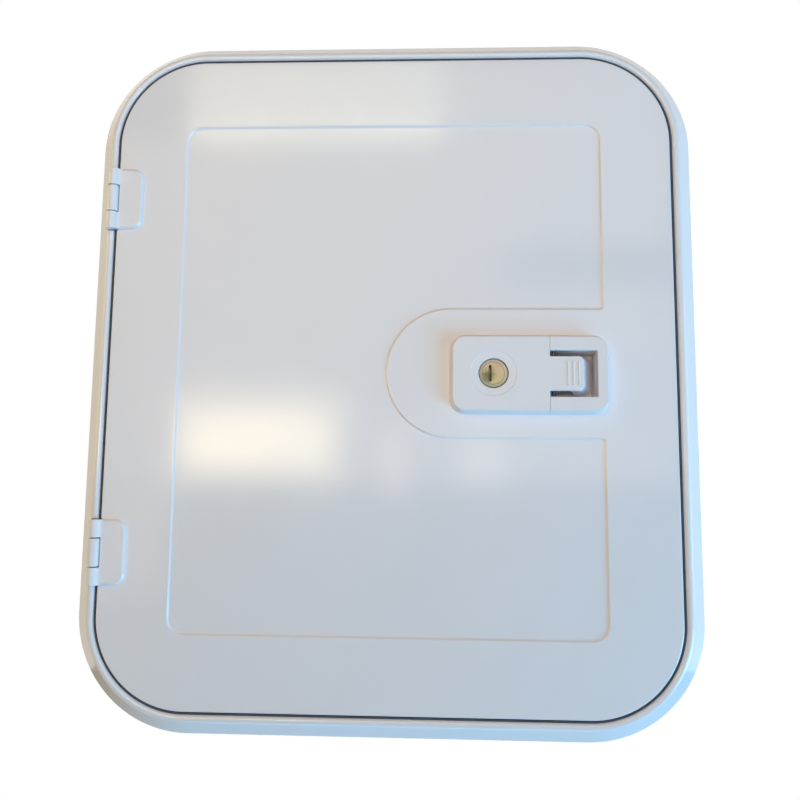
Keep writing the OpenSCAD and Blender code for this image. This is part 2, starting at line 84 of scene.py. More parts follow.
# Sizes that the CAD model gives, in millimetres
(door_left, door_low, DOOR_BACK), (door_right, door_high, FACE) = millimetres("door_panel")
DOOR_W = door_right - door_left
DOOR_H = door_high - door_low
MIDDLE = (door_low + door_high) / 2
LATCH_Y = sum(corner[1] for corner in millimetres("latch_bezel")) / 2 - MIDDLE
LOCK_X = sum(corner[0] for corner in millimetres("lock_barrel")) / 2
LOCK_TOP = millimetres("lock_barrel")[1][2]
LOCK_BOTTOM = millimetres("lock_barrel")[0][2]
BLOCK_LEFT = millimetres("latch_cover")[0][0]
BLOCK_RIGHT = millimetres("latch_bezel")[1][0]
BLOCK_TOP = millimetres("latch_cover")[1][2]
PART_X = millimetres("latch_cover")[1][0]

# Outer frame, door and seam
SEAM = 1.5
DOOR_R = 49.5
OPEN_W, OPEN_H, OPEN_R = DOOR_W + 2 * SEAM, DOOR_H + 2 * SEAM, DOOR_R + SEAM
RIM_W = 12.5
RIM_ROUND = 2
CREST_R = 2.8
LAND_W = 3.4
LIP_H = 1.1
LIP_ROUND = 0.4
FRAME_T = 2.5
LEDGE_W = 12
LEDGE_Z = DOOR_BACK - 2
LEDGE_BACK = LEDGE_Z - FRAME_T
LIP_T, LIP_DROP = 1.1, 1.2
WALL_T = 28
WALL_END = -28.5
FLANGE_BACK = -WALL_T - FRAME_T
EDGE_ROUND = 0.8
EDGE_T = 2.5
SKIN_T = 3
FIT = 0.3

# Sunk field of the door, with the tongue that carries the latch
FIELD_W, FIELD_H, FIELD_R = DOOR_W - 77.2, DOOR_H - 78.8, 9
FIELD_D = 0.9
TONGUE_X, TONGUE_R = 34.4, 35.3
TONGUE_CORNER = 2

# Hinges
AXIS_OUT = 0.8
AXIS_X = -(OPEN_W / 2 + AXIS_OUT)
AXIS_Z = FACE + 1.5
HINGE_Y = (99.5, -99.5)
HINGE_L = 35.4
KNUCKLE_L = 15
BARREL_R = 3.2
KNUCKLE_GAP = 0.5
POCKET_D = 3.5
LEAF_REACH = 17.3
LEAF_T = 2
LEAF_R = 6
LEAF_BEVEL = 1.2

# Latch
BLOCK_H = 44
BLOCK_R = 8.7
BLOCK_INSET = 2.2
WINDOW_H = 25.2
WINDOW_X = 113
SLOT_W = 3.2
TAB_H = WINDOW_H - 2 * SLOT_W
TAB_TIP = 105.5
TAB_CORNER = 3
TAB_T = 2.4
NOSE_REACH, NOSE_SPREAD, NOSE_D = 5, 1.9, 10
DISH_Z = BLOCK_TOP - 17
DISH_T = 1.2
CASE = (45.1, 116, 31.2)
LOCK_R = 8
LOCK_DISH_R = 12.8
PLUG_R = 6.2
KEYWAY = (-1.8, 1.2, 8.8, 6)


def row(x, y, z):
    """A plan point as a point of the row frame, in metres."""
    return Vector((x, -z, y + MIDDLE)) / 1000


def arc(cx, cy, r, start, end, steps=6):
    """Points on an arc about a centre, from one angle to another in degrees."""
    angles = [math.radians(start + (end - start) * i / steps) for i in range(steps + 1)]
    return [(cx + r * math.cos(a), cy + r * math.sin(a)) for a in angles]


def rounded(w, h, r, cx=0, cy=0, steps=24):
    """Outline of a rectangle with round corners."""
    corners = ((1, 1, 0), (-1, 1, 90), (-1, -1, 180), (1, -1, 270))
    return [
        point
        for sx, sy, start in corners
        for point in arc(cx + sx * (w / 2 - r), cy + sy * (h / 2 - r), r, start, start + 90, steps)
    ]


def circle(r, cx, cy, steps=64):
    return arc(cx, cy, r, 0, 360 * (steps - 1) / steps, steps - 1)


def offset(outline, d):
    """The closed outline moved outward by d."""
    moved = []
    for i, (x, y) in enumerate(outline):
        (ax, ay), (bx, by) = outline[i - 1], outline[(i + 1) % len(outline)]
        before = Vector((y - ay, ax - x)).normalized()
        after = Vector((by - y, x - bx)).normalized()
        shift = (before + after) * d / (1 + before.dot(after))
        moved.append((x + shift.x, y + shift.y))
    return moved


def mix(a, b, share):
    return a + (b - a) * share


def smooth(share):
    share = min(1, max(0, share))
    return share * share * (3 - 2 * share)


class Shell:
    """A closed mesh made of rings of plan points, walls between them and caps."""

    def __init__(self):
        self.mesh = bmesh.new()

    def ring(self, points, z=None):
        if z is not None:
            points = [(x, y, z) for x, y in points]
        return [self.mesh.verts.new(row(*p)) for p in points]

    def wall(self, *rings):
        for a, b in zip(rings, rings[1:]):
            for i in range(len(a)):
                self.mesh.faces.new((a[i - 1], a[i], b[i], b[i - 1]))

    def cap(self, *loops):
        points = [v for loop in loops for v in loop]
        for corners in tessellate_polygon([[v.co for v in loop] for loop in loops]):
            self.mesh.faces.new([points[i] for i in corners])

    def solid(self, name):
        bmesh.ops.recalc_face_normals(self.mesh, faces=self.mesh.faces)
        mesh = bpy.data.meshes.new(name)
        self.mesh.to_mesh(mesh)
        self.mesh.free()
        piece = bpy.data.objects.new(name, mesh)
        bpy.context.scene.collection.objects.link(piece)
        return piece


def sweep(name, section, w=OPEN_W, h=OPEN_H, r=OPEN_R, steps=32):
    """A ring-shaped solid: the section's x runs outward from the rounded rectangle."""
    shell = Shell()
    rings = [shell.ring(rounded(w + 2 * u, h + 2 * u, r + u, steps=steps), z) for u, z in section]
    shell.wall(*rings, rings[0])
    return shell.solid(name)


def bar(name, section, y0, y1, rounding):
    """A bar along y: its section is in x and z, and its ends are rounded over."""
    shell = Shell()
    turns = [(rounding * (1 - math.cos(a)), rounding * (1 - math.sin(a))) for a in (0, 0.5, 1, 1.57)]
    stations = [(y0 + y, d) for d, y in turns[::-1]] + [(y1 - y, d) for d, y in turns]
    rings = [shell.ring([(x, y, z) for x, z in offset(section, -d)]) for y, d in stations]
    shell.wall(*rings)
    shell.cap(rings[0])
    shell.cap(rings[-1])
    return shell.solid(name)


def lathe(shell, cx, cy, profile, steps=64):
    """Rings about an axis along z, from a profile of radius and height, closed at both ends."""
    rings = [shell.ring(circle(r, cx, cy, steps), z) for r, z in profile]
    shell.wall(*rings)
    shell.cap(rings[0])
    shell.cap(rings[-1])


def combine(piece, other, operation="DIFFERENCE"):
    """Cuts the other mesh out of the piece, or joins it on, and drops the other."""
    modifier = piece.modifiers.new("combine", "BOOLEAN")
    modifier.operation = operation
    modifier.solver = "EXACT"
    modifier.object = other
    evaluated = piece.evaluated_get(bpy.context.evaluated_depsgraph_get())
    mesh = bpy.data.meshes.new_from_object(evaluated)
    piece.modifiers.clear()
    piece.data = mesh
    bpy.data.objects.remove(other)
    return piece


def dress(piece, material, slot, *nodes, sharp=35):
    """Shades the piece, gives it its material and lets it stand for the CAD nodes."""
    piece.data.shade_smooth()
    piece.data.set_sharp_from_angle(angle=math.radians(sharp))
    piece.modifiers.new("even shading", "WEIGHTED_NORMAL").keep_sharp = True
    piece.data.materials.clear()
    piece.data.materials.append(material)
    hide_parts(*nodes)
    return piece


def ride(piece, node):
    """The piece moves with the body of that CAD node."""
    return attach(piece, frame["nodes"][node]["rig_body"])


# Materials. Roughness stays below 0.27 or above 0.28: the denoiser shows a step between.


class Nodes:
    """Short calls for building a material's nodes."""

    def __init__(self, name):
        self.material = bpy.data.materials.new(name)
        self.material.use_nodes = True
        self.tree = self.material.node_tree
        self.shader = self.tree.nodes["Principled BSDF"]
        self.place = self.add("ShaderNodeTexCoord").outputs["Object"]

    def add(self, kind, **values):
        node = self.tree.nodes.new(kind)
        for name, value in values.items():
            setattr(node, name, value)
        return node

    def link(self, output, target):
        self.tree.links.new(output, target)

    def noise(self, scale, detail=3, roughness=0.5, stretch=(1, 1, 1)):
        """Noise of about that many waves a metre, stretched along the axes."""
        mapping = self.add("ShaderNodeMapping")
        mapping.inputs["Scale"].default_value = [scale * s for s in stretch]
        texture = self.add("ShaderNodeTexNoise")
        texture.inputs["Scale"].default_value = 1
        texture.inputs["Detail"].default_value = detail
        texture.inputs["Roughness"].default_value = roughness
        self.link(self.place, mapping.inputs["Vector"])
        self.link(mapping.outputs["Vector"], texture.inputs["Vector"])
        return texture.outputs["Fac"]

    def spread(self, source, low, high, start=0.3, end=0.7):
        """A factor turned into a number between low and high."""
        node = self.add("ShaderNodeMapRange")
        for name, value in zip(("From Min", "From Max", "To Min", "To Max"), (start, end, low, high)):
            node.inputs[name].default_value = value
        self.link(source, node.inputs["Value"])
        return node.outputs["Result"]

    def tint(self, source, first, second, start=0.3, end=0.7):
        """A factor turned into a colour between two."""
        node = self.add("ShaderNodeValToRGB")
        low, high = node.color_ramp.elements
        low.position, high.position = start, end
        low.color, high.color = (*first, 1), (*second, 1)
        self.link(source, node.inputs["Fac"])
        return node.outputs["Color"]

    def mix(self, factor, first, second):
        """A mix of two colours, each an output or plain values."""
        node = self.add("ShaderNodeMix", data_type="RGBA")
        self.link(factor, node.inputs["Factor"])
        for value, target in ((first, node.inputs[6]), (second, node.inputs[7])):
            if isinstance(value, tuple):
                target.default_value = (*value, 1)
            else:
                self.link(value, target)
        return node.outputs[2]

    def bump(self, source, depth, strength=1, after=None):
        """Raises the surface by depth metres where the factor is 1."""
        node = self.add("ShaderNodeBump")
        node.inputs["Distance"].default_value = depth
        node.inputs["Strength"].default_value = strength
        self.link(source, node.inputs["Height"])
        if after:
            self.link(after, node.inputs["Normal"])
        return node.outputs["Normal"]


def moulding(name, base, worn, gloss=(0.1, 0.15), waves=0.00012, grain=0.0000015):
    """Injection-moulded plastic: faint flow marks, slight waves and a fine skin."""
    nodes = Nodes(name)
    shader = nodes.shader
    nodes.link(nodes.tint(nodes.noise(9, 4, 0.6), worn, base), shader.inputs["Base Color"])
    nodes.link(nodes.spread(nodes.noise(35, 5, 0.6), *gloss), shader.inputs["Roughness"])
    wave = nodes.bump(nodes.noise(14, 1), waves)
    nodes.link(nodes.bump(nodes.noise(1500, 2), grain, after=wave), shader.inputs["Normal"])
    shader.inputs["IOR"].default_value = 1.53
    return nodes.material


def rubber(name, base, dusty):
    nodes = Nodes(name)
    nodes.link(nodes.tint(nodes.noise(60, 5, 0.7), base, dusty), nodes.shader.inputs["Base Color"])
    nodes.link(nodes.spread(nodes.noise(120), 0.55, 0.8), nodes.shader.inputs["Roughness"])
    nodes.link(nodes.bump(nodes.noise(900, 3), 0.00003), nodes.shader.inputs["Normal"])
    return nodes.material


def metal(name, base, tarnish, gloss=(0.29, 0.45), brushed=(1, 1, 12), spots=220):
    """Plated metal with turning or brushing marks and patches of tarnish."""
    nodes = Nodes(name)
    shader = nodes.shader
    shader.inputs["Metallic"].default_value = 1
    patches = nodes.noise(spots, 5, 0.65)
    nodes.link(nodes.tint(patches, base, tarnish, 0.42, 0.68), shader.inputs["Base Color"])
    nodes.link(nodes.spread(patches, *gloss), shader.inputs["Roughness"])
    marks = nodes.noise(600, 2, stretch=brushed)
    nodes.link(nodes.bump(marks, 0.00001), shader.inputs["Normal"])
    return nodes.material


def lock_metal(name, low, high, tarnish):
    """Brass with random tarnish patches and redder towards the top; darkened towards the lower left as a painted
    dark reflection, and painted shade darkens the outer edge of the ring.
    """
    nodes = Nodes(name)
    shader = nodes.shader
    shader.inputs["Metallic"].default_value = 1
    centre = row(LOCK_X, LATCH_Y, 0)
    away = nodes.add("ShaderNodeVectorMath", operation="SUBTRACT")
    away.inputs[1].default_value = (centre.x, 0, centre.z)
    nodes.link(nodes.place, away.inputs[0])
    flat = nodes.add("ShaderNodeVectorMath", operation="MULTIPLY")
    flat.inputs[1].default_value = (1000 / LOCK_R, 0, 1000 / LOCK_R)
    nodes.link(away.outputs["Vector"], flat.inputs[0])
    radius = nodes.add("ShaderNodeVectorMath", operation="LENGTH")
    # Painted dark reflection: the colour turns to the tarnish colour near a spot at the lower left of the face.
    from_painted_dark = nodes.add("ShaderNodeVectorMath", operation="DISTANCE")
    from_painted_dark.inputs[1].default_value = (-0.42, 0, -0.12)
    split = nodes.add("ShaderNodeSeparateXYZ")
    for node in (radius, from_painted_dark, split):
        nodes.link(flat.outputs["Vector"], node.inputs[0])
    height = nodes.spread(split.outputs["Z"], 0, 1, -0.8, 0.9)
    patches = nodes.spread(nodes.noise(320, 5, 0.7), -0.3, 0.3, 0.25, 0.75)
    # Random tarnish patches plus the painted dark reflection; where this is low, the tarnish colour shows.
    tarnish_and_painted_dark = nodes.add("ShaderNodeMath", operation="ADD")
    nodes.link(from_painted_dark.outputs["Value"], tarnish_and_painted_dark.inputs[0])
    nodes.link(patches, tarnish_and_painted_dark.inputs[1])
    worn = nodes.spread(tarnish_and_painted_dark.outputs["Value"], 0, 1, 0.12, 0.62)
    colour = nodes.mix(worn, tarnish, nodes.tint(height, low, high, 0, 1))
    # Painted shade: the outer edge of the ring is darkened nearly to black, where the recess round the lock
    # shades it.
    painted_groove_shade = nodes.spread(radius.outputs["Value"], 0, 1, 0.93, 0.99)
    nodes.link(nodes.mix(painted_groove_shade, colour, (0.03, 0.03, 0.02)), shader.inputs["Base Color"])
    nodes.link(nodes.spread(patches, 0.45, 0.29, -0.3, 0.3), shader.inputs["Roughness"])
    nodes.link(nodes.bump(nodes.noise(700, 3), 0.00004), shader.inputs["Normal"])
    return nodes.material


WHITE = moulding("white_moulding", (0.825, 0.82, 0.885), (0.805, 0.8, 0.865))
LATCH_WHITE = moulding("latch_moulding", (0.825, 0.82, 0.885), (0.805, 0.8, 0.865), (0.29, 0.36))
INNER = moulding("inner_moulding", (0.77, 0.78, 0.79), (0.73, 0.74, 0.75), (0.3, 0.42))
CASE_GREY = moulding("case_moulding", (0.7, 0.71, 0.72), (0.66, 0.67, 0.68), (0.35, 0.5))
RUBBER = rubber("seal_rubber", (0.025, 0.035, 0.06), (0.045, 0.055, 0.085))
STEEL = metal("screw_steel", (0.55, 0.55, 0.54), (0.35, 0.34, 0.32))
PIN_STEEL = metal("pin_steel", (0.07, 0.07, 0.075), (0.04, 0.04, 0.04), (0.4, 0.55))
# The lock metals' third colour is real tarnish in random patches, and also the painted dark reflection at the
# lower left.
NICKEL = lock_metal("lock_nickel", (0.21, 0.22, 0.17), (0.25, 0.23, 0.2), (0.13, 0.13, 0.11))
BRASS = lock_metal("lock_brass", (0.22, 0.225, 0.13), (0.24, 0.19, 0.14), (0.09, 0.09, 0.055))


# Frame side


def outer_frame():
    """The rim, the wall through the caravan's side and the ledge, with both middle knuckles."""
    slope = math.atan2(FACE - LIP_H, RIM_W - LAND_W)
    crest_x = LAND_W - CREST_R * math.tan(slope / 2)
    down = 90 - math.degrees(slope)
    section = (
        arc(RIM_ROUND, FACE - RIM_ROUND, RIM_ROUND, 180, 90, 8)
        + arc(crest_x, FACE - CREST_R, CREST_R, 90, down, 6)
        + arc(RIM_W - LIP_ROUND, LIP_H - 0.2, LIP_ROUND, down, 0, 4)
        + [(RIM_W, 0), (FRAME_T, 0), (FRAME_T, WALL_END), (0, WALL_END), (0, LEDGE_BACK)]
        + [(-LEDGE_W, LEDGE_BACK), (-LEDGE_W, LEDGE_Z), (0, LEDGE_Z)]
    )
    piece = sweep("rim_moulding", section, steps=40)
    for y in HINGE_Y:
        combine(piece, scoop(y))
        combine(piece, pocket(y))
    for y in HINGE_Y:
        combine(piece, middle_knuckle(y), "UNION")
    dress(piece, WHITE, "white_moulding", "outer_frame")
    ride(piece, "outer_frame")


def scoop(y):
    """The round clearance behind a hinge, as a cutter."""
    half = HINGE_L / 2 + KNUCKLE_GAP
    section = arc(AXIS_X, AXIS_Z, BARREL_R + KNUCKLE_GAP, 0, 354, 59)
    return bar("scoop", section, y - half, y + half, 0.01)


def pocket(y):
    """The frame's pocket under a hinge, as a cutter."""
    half = HINGE_L / 2 + KNUCKLE_GAP
    left, right, low, high = AXIS_X - BARREL_R, AXIS_X + AXIS_OUT + 0.3, FACE - POCKET_D, FACE + 0.3
    section = [(left, low), (right, low), (right, high), (left, high)]
    return bar("pocket", section, y - half, y + half, 0.01)


def middle_knuckle(y):
    """The frame's knuckle, whose web runs down into the rim."""
    start = -math.degrees(math.acos(AXIS_OUT / BARREL_R))
    section = arc(AXIS_X, AXIS_Z, BARREL_R, start, 180, 40)
    foot = FACE - POCKET_D - 0.5
    section += [(AXIS_X - BARREL_R, foot), (AXIS_X + AXIS_OUT, foot)]
    return bar("knuckle", section, y - KNUCKLE_L / 2, y + KNUCKLE_L / 2, 0.4)


def door_seal():
    """The seal on the ledge, with its lip that stands in the seam against the frame's wall."""
    top, low = FACE - LIP_DROP, LEDGE_Z + 1
    section = [(-7.3, LEDGE_Z), (0, LEDGE_Z), (0, FACE - RIM_ROUND)]
    section += arc(-0.3, top - 0.5, 0.5, 0, 90, 4) + arc(0.5 - LIP_T, top - 0.5, 0.5, 90, 180, 4)
    section += [(-LIP_T, low)] + arc(-6.3, low - 0.2, 1, 90, 180)
    piece = sweep("rubber_seal", section)
    for y in HINGE_Y:
        combine(piece, scoop(y))
    dress(piece, RUBBER, "seal_rubber", "door_seal")
    ride(piece, "door_seal")


def inner_frame():
    """Trim frame inside the caravan, with its collar through the wall."""
    r = 1.5
    collar_x, collar_z = -LEDGE_W + FRAME_T, LEDGE_BACK - 1.5 - FIT
    section = (
        arc(r - LEDGE_W, FLANGE_BACK + r, r, 180, 270)
        + arc(RIM_W - r, FLANGE_BACK + r, r, 270, 360)
        + [(RIM_W, -WALL_T), (FRAME_T + FIT, -WALL_T), (FRAME_T + FIT, WALL_END)]
        + [(collar_x, WALL_END), (collar_x, collar_z), (-LEDGE_W, collar_z)]
    )
    piece = dress(sweep("trim_frame", section), INNER, "inner_moulding", "inner_frame")
    ride(piece, "inner_frame")


# Door side


def field_outline():
    """Outline of the sunk field, with the bite that leaves the tongue standing."""
    x, y, r, c = FIELD_W / 2, FIELD_H / 2, FIELD_R, TONGUE_CORNER
    return (
        arc(x - r, r - y, r, 270, 360, 10)
        + arc(x - c, -TONGUE_R - c, c, 0, 90, 6)
        + arc(TONGUE_X, 0, TONGUE_R, 270, 90, 72)
        + arc(x - c, TONGUE_R + c, c, 270, 360, 6)
        + arc(x - r, y - r, r, 0, 90, 10)
        + arc(r - x, y - r, r, 90, 180, 10)
        + arc(r - x, r - y, r, 180, 270, 10)
    )


def door_panel():
    shell = Shell()

    def outline(inset):
        return rounded(DOOR_W - 2 * inset, DOOR_H - 2 * inset, DOOR_R - inset, steps=40)

    edge = arc(EDGE_ROUND, FACE - EDGE_ROUND, EDGE_ROUND, 180, 90, 6)
    levels = [(EDGE_T, FACE - SKIN_T), (EDGE_T, DOOR_BACK), (0, DOOR_BACK)] + edge + [(2.2, FACE)]
    rings = [shell.ring(outline(inset), z) for inset, z in levels]
    shell.wall(*rings)
    left, right, height = CASE
    hole = [(left, -height / 2), (right, -height / 2), (right, height / 2), (left, height / 2)]
    hole = [(x, y + LATCH_Y) for x, y in hole]
    hole_front, hole_back = shell.ring(hole, FACE), shell.ring(hole, FACE - SKIN_T)
    shell.wall(hole_front, hole_back)
    field = field_outline()
    steps = [i / 8 for i in range(9)]
    slope = [(0.05 - 1.2 * s, FACE - FIELD_D * smooth(s)) for s in steps]
    levels = [(0.8, FACE)] + slope + [(-1.5, FACE - FIELD_D)]
    field_rings = [shell.ring(offset(field, d), z) for d, z in levels]
    shell.wall(*field_rings)
    shell.cap(rings[-1], field_rings[0], hole_front)
    shell.cap(field_rings[-1])
    shell.cap(rings[0], hole_back)
    piece = shell.solid("door_skin")
    for y in HINGE_Y:
        combine(piece, scoop(y))
    dress(piece, WHITE, "white_moulding", "door_panel")
    ride(piece, "door_panel")


def door_liner():
    """Inner skin of the door, with its shallow pan, cut out round the latch case."""
    shell = Shell()
    inset = EDGE_T + 0.3
    w, h, r = DOOR_W - 2 * inset, DOOR_H - 2 * inset, DOOR_R - inset
    pan = (OPEN_W - 36, OPEN_H - 36, OPEN_R - 18)
    left, right, height = CASE
    cut = [left - FIT, right + FIT, height / 2 + FIT]
    hole = [(cut[0], -cut[2]), (cut[1], -cut[2]), (cut[1], cut[2]), (cut[0], cut[2])]
    hole = [(x, y + LATCH_Y) for x, y in hole]
    front, back, thick = DOOR_BACK + 2.5, DOOR_BACK - 5, 2.5

    def plate(d):
        return rounded(w - 2 * d, h - 2 * d, r - d, steps=32)

    def pan_at(d):
        return rounded(pan[0] - 2 * d, pan[1] - 2 * d, pan[2] - d, steps=32)

    outer = [shell.ring(plate(d), z) for d, z in ((0, front), (0, DOOR_BACK + 0.4), (0.4, DOOR_BACK))]
    profile = [(-0.8, DOOR_BACK), (-0.2, DOOR_BACK - 0.3), (0, DOOR_BACK - 0.9)]
    profile += [(0.8, back + 1.2), (1.2, back + 0.3), (2.1, back), (3.5, back)]
    outside = [shell.ring(pan_at(d), z) for d, z in profile]
    inside = [shell.ring(pan_at(d + thick), z) for d, z in ((0, front), (0.9, back + thick))]
    holes = [shell.ring(hole, z) for z in (back, back + thick)]
    shell.wall(*outer)
    shell.wall(*outside)
    shell.wall(*inside)
    shell.wall(*holes)
    shell.cap(outer[-1], outside[0])
    shell.cap(outside[-1], holes[0])
    shell.cap(outer[0], inside[0])
    shell.cap(inside[1], holes[1])
    piece = dress(shell.solid("liner_moulding"), INNER, "inner_moulding", "door_liner")
    ride(piece, "door_liner")


def leaf_outline(y, d):
    """Outline of a hinge leaf whose free sides are moved inward by d."""
    half, notch = HINGE_L / 2 - d, KNUCKLE_L / 2 + KNUCKLE_GAP
    cx, cy = AXIS_X + LEAF_REACH - LEAF_R, HINGE_L / 2 - LEAF_R
    side = AXIS_X + BARREL_R + KNUCKLE_GAP
    points = (
        [(AXIS_X, -half)]
        + arc(cx, -cy, LEAF_R - d, 270, 360, 10)
        + arc(cx, cy, LEAF_R - d, 0, 90, 10)
        + [(AXIS_X, half), (AXIS_X, notch), (side, notch), (side, -notch), (AXIS_X, -notch)]
    )
    return [(px, py + y) for px, py in points]


def hinge_leaf(y, name, node):
    """A leaf with bevelled sides, blended into its two outer knuckles."""
    shell = Shell()
    top = FACE + LEAF_T
    profile = [(0, FACE), (0, top - LEAF_BEVEL - 0.15), (0.08, top - LEAF_BEVEL + 0.06)]
    profile += [(LEAF_BEVEL - 0.15, top - 0.13), (LEAF_BEVEL + 0.1, top), (LEAF_BEVEL + 0.8, top)]
    rings = [shell.ring(leaf_outline(y, d), z) for d, z in profile]
    shell.wall(*rings)
    shell.cap(rings[0])
    shell.cap(rings[-1])
    piece = shell.solid(name)
    start = KNUCKLE_L / 2 + KNUCKLE_GAP
    for y0, y1 in ((-HINGE_L / 2, -start), (start, HINGE_L / 2)):
        combine(piece, outer_knuckle(y + y0, y + y1), "UNION")
    dress(piece, WHITE, "white_moulding", node)
    ride(piece, node)


def outer_knuckle(y0, y1):
    """A leaf's knuckle, with the hollow where it runs into the plate."""
    fillet = 1.5
    rise = AXIS_Z - FACE - LEAF_T
    fx = math.sqrt((BARREL_R + fillet) ** 2 - (fillet - rise) ** 2)
    turn = math.degrees(math.atan2(fillet - rise, fx))
    cz = FACE + LEAF_T + fillet
    section = arc(AXIS_X, AXIS_Z, BARREL_R, turn, 340, 48)
    section += [(AXIS_X + fx + 0.3, FACE + 0.5), (AXIS_X + fx + 0.3, FACE + LEAF_T - 0.02)]
    section += arc(AXIS_X + fx, cz, fillet, 270, 180 + turn, 8)[:-1]
    return bar("knuckle", section, y0, y1, 0.4)


# Latch


ROUND = (90, 65, 40, 15)
HEIGHTS = [BLOCK_TOP] + [BLOCK_TOP - 0.6 + 0.6 * math.sin(math.radians(a)) for a in ROUND]
HEIGHTS += [FACE + 1.38, FACE + 0.5, FACE]
BLOCK_WALL = [-BLOCK_INSET - 1.2] + [0.6 * math.cos(math.radians(a)) - BLOCK_INSET for a in ROUND]
BLOCK_WALL += [-0.77, -0.4, 0]
PART_WALL = [-0.8, -0.12, -0.03, 0, 0, 0, 0, 0]
SLOT_WALL = [-1.2, -0.5, -0.27, -0.09, 0, 0, 0, 0]
TAB_HEIGHTS = HEIGHTS[:5] + [BLOCK_TOP - TAB_T + 0.6, BLOCK_TOP - TAB_T + 0.3, BLOCK_TOP - TAB_T]
TIP_WALL = [-1.4, -0.6, -0.25, 0.05, 0.3, 2.3, 3.6, NOSE_REACH]
TIP_HEIGHTS = HEIGHTS[:4] + [BLOCK_TOP - 0.55, BLOCK_TOP - 4.6, BLOCK_TOP - 7.2, BLOCK_TOP - NOSE_D]


def column(x, y, *sides):
    """Points from top to bottom where the walls of those sides meet: each is a normal and a wall."""
    return [
        (
            x + sum(nx * wall[k] for nx, ny, wall in sides),
            y + LATCH_Y + sum(ny * wall[k] for nx, ny, wall in sides),
            z,
        )
        for k, z in enumerate(HEIGHTS)
    ]


def block_corner(x, y, start, steps=12):
    """Columns round one corner of the block, centred at x and y."""
    return [
        column(px, py, ((px - x) / BLOCK_R, (py - y) / BLOCK_R, BLOCK_WALL))
        for px, py in arc(x, y, BLOCK_R, start, start + 90, steps)
    ]


def tab_column(x, y, nx, ny):
    """Points down the side of the tab, which flares into its nose."""
    share = smooth((x - TAB_TIP + 7) / 4)
    points = []
    for k in range(len(HEIGHTS)):
        tip_y = TIP_WALL[k] * (NOSE_SPREAD / NOSE_REACH if TIP_WALL[k] > 0 else 1)
        dx, dy = mix(SLOT_WALL[k], TIP_WALL[k], share), mix(SLOT_WALL[k], tip_y, share)
        z = mix(TAB_HEIGHTS[k], TIP_HEIGHTS[k], share)
        points.append((x + nx * dx, y + LATCH_Y + ny * dy, z))
    return points


def tab_columns():
    """Columns round the tab, from its root's lower side to its upper side."""
    stations = [PART_X + d for d in (1, 2, 3, 4, 5, 7, 9, 11, 12, 13, 14)]
    cx, cy = TAB_TIP - TAB_CORNER, TAB_H / 2 - TAB_CORNER
    lower = [tab_column(x, -TAB_H / 2, 0, -1) for x in stations]
    lower += [
        tab_column(px, py, (px - cx) / TAB_CORNER, (py + cy) / TAB_CORNER)
        for px, py in arc(cx, -cy, TAB_CORNER, 270, 360, 8)
    ]
    upper = [
        tab_column(px, py, (px - cx) / TAB_CORNER, (py - cy) / TAB_CORNER)
        for px, py in arc(cx, cy, TAB_CORNER, 0, 90, 8)
    ]
    upper += [tab_column(x, TAB_H / 2, 0, 1) for x in reversed(stations)]
    return lower, upper


def cover_columns():
    """Columns of the cover from the tab's upper side, left round the block, to its lower side."""
    half, slot, window = BLOCK_H / 2, TAB_H / 2, WINDOW_H / 2
    part = (1, 0, PART_WALL)
    end = (1, 0, SLOT_WALL)
    return (
        [column(PART_X, slot, end, (0, 1, SLOT_WALL))]
        + [column(PART_X, window - 0.2, end), column(PART_X, window + 0.1, part)]
        + [column(PART_X, half, part, (0, 1, BLOCK_WALL))]
        + block_corner(BLOCK_LEFT + BLOCK_R, half - BLOCK_R, 90)
        + block_corner(BLOCK_LEFT + BLOCK_R, BLOCK_R - half, 180)
        + [column(PART_X, -half, part, (0, -1, BLOCK_WALL))]
        + [column(PART_X, -window - 0.1, part), column(PART_X, 0.2 - window, end)]
        + [column(PART_X, -slot, end, (0, -1, SLOT_WALL))]
    )


def latch_cover_and_tab():
    """Cover and press tab as one moulding, joined by the strip that bends under the thumb."""
    shell = Shell()
    cover = cover_columns()
    lower, upper = tab_columns()
    columns = cover + lower + upper
    rings = [shell.ring([points[k] for points in columns]) for k in range(len(HEIGHTS))]
    shell.wall(*rings)
    dish = [(13.2, 0), (12.7, 0), (12.55, -0.05), (12.35, -0.2), (12.15, -0.25), (10.5, -0.29)]
    dish += [(9.3, -0.32), (8.6, -0.37), (8.25, -0.42), (LOCK_R + 0.1, -0.6)]
    levels = [(r, BLOCK_TOP + z) for r, z in dish] + [(LOCK_R + 0.1, FACE)]
    holes = [shell.ring(circle(r, LOCK_X, LATCH_Y, 72), z) for r, z in levels]
    shell.wall(*holes)
    bend = 5
    count = len(cover)
    for ring, hole in ((rings[0], holes[0]), (rings[-1], holes[-1])):
        below, above = ring[count : count + bend], ring[: -bend - 1 : -1]
        shell.cap(ring[:count], hole)
        first = [(ring[count - 1], ring[0])] + list(zip(below, above))
        for (a, b), (c, d) in zip(first, first[1:]):
            shell.mesh.faces.new((a, c, d, b))
        shell.cap(ring[count + bend - 1 : -bend + 1])
    piece = shell.solid("latch_cover_with_tab")
    dress(piece, LATCH_WHITE, "latch_moulding", "latch_cover", "latch_tab")
    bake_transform(piece)


def tab_ribs():
    """The raised grips across the tab."""
    shell = Shell()
    for i in range(3):
        x = TAB_TIP - 2.7 - 2.9 * i
        levels = [(0, -0.3), (0, 0.15), (0.08, 0.32), (0.22, 0.43), (0.4, 0.48)]
        rings = [
            shell.ring(rounded(1.1 - 2 * d, 13.5 - 2 * d, 0.54 - d, x, LATCH_Y, 6), BLOCK_TOP + z)
            for d, z in levels
        ]
        shell.wall(*rings)
        shell.cap(rings[0])
        shell.cap(rings[-1])
    piece = dress(shell.solid("tab_ribs"), LATCH_WHITE, "latch_moulding", sharp=60)
    ride(piece, "latch_tab")


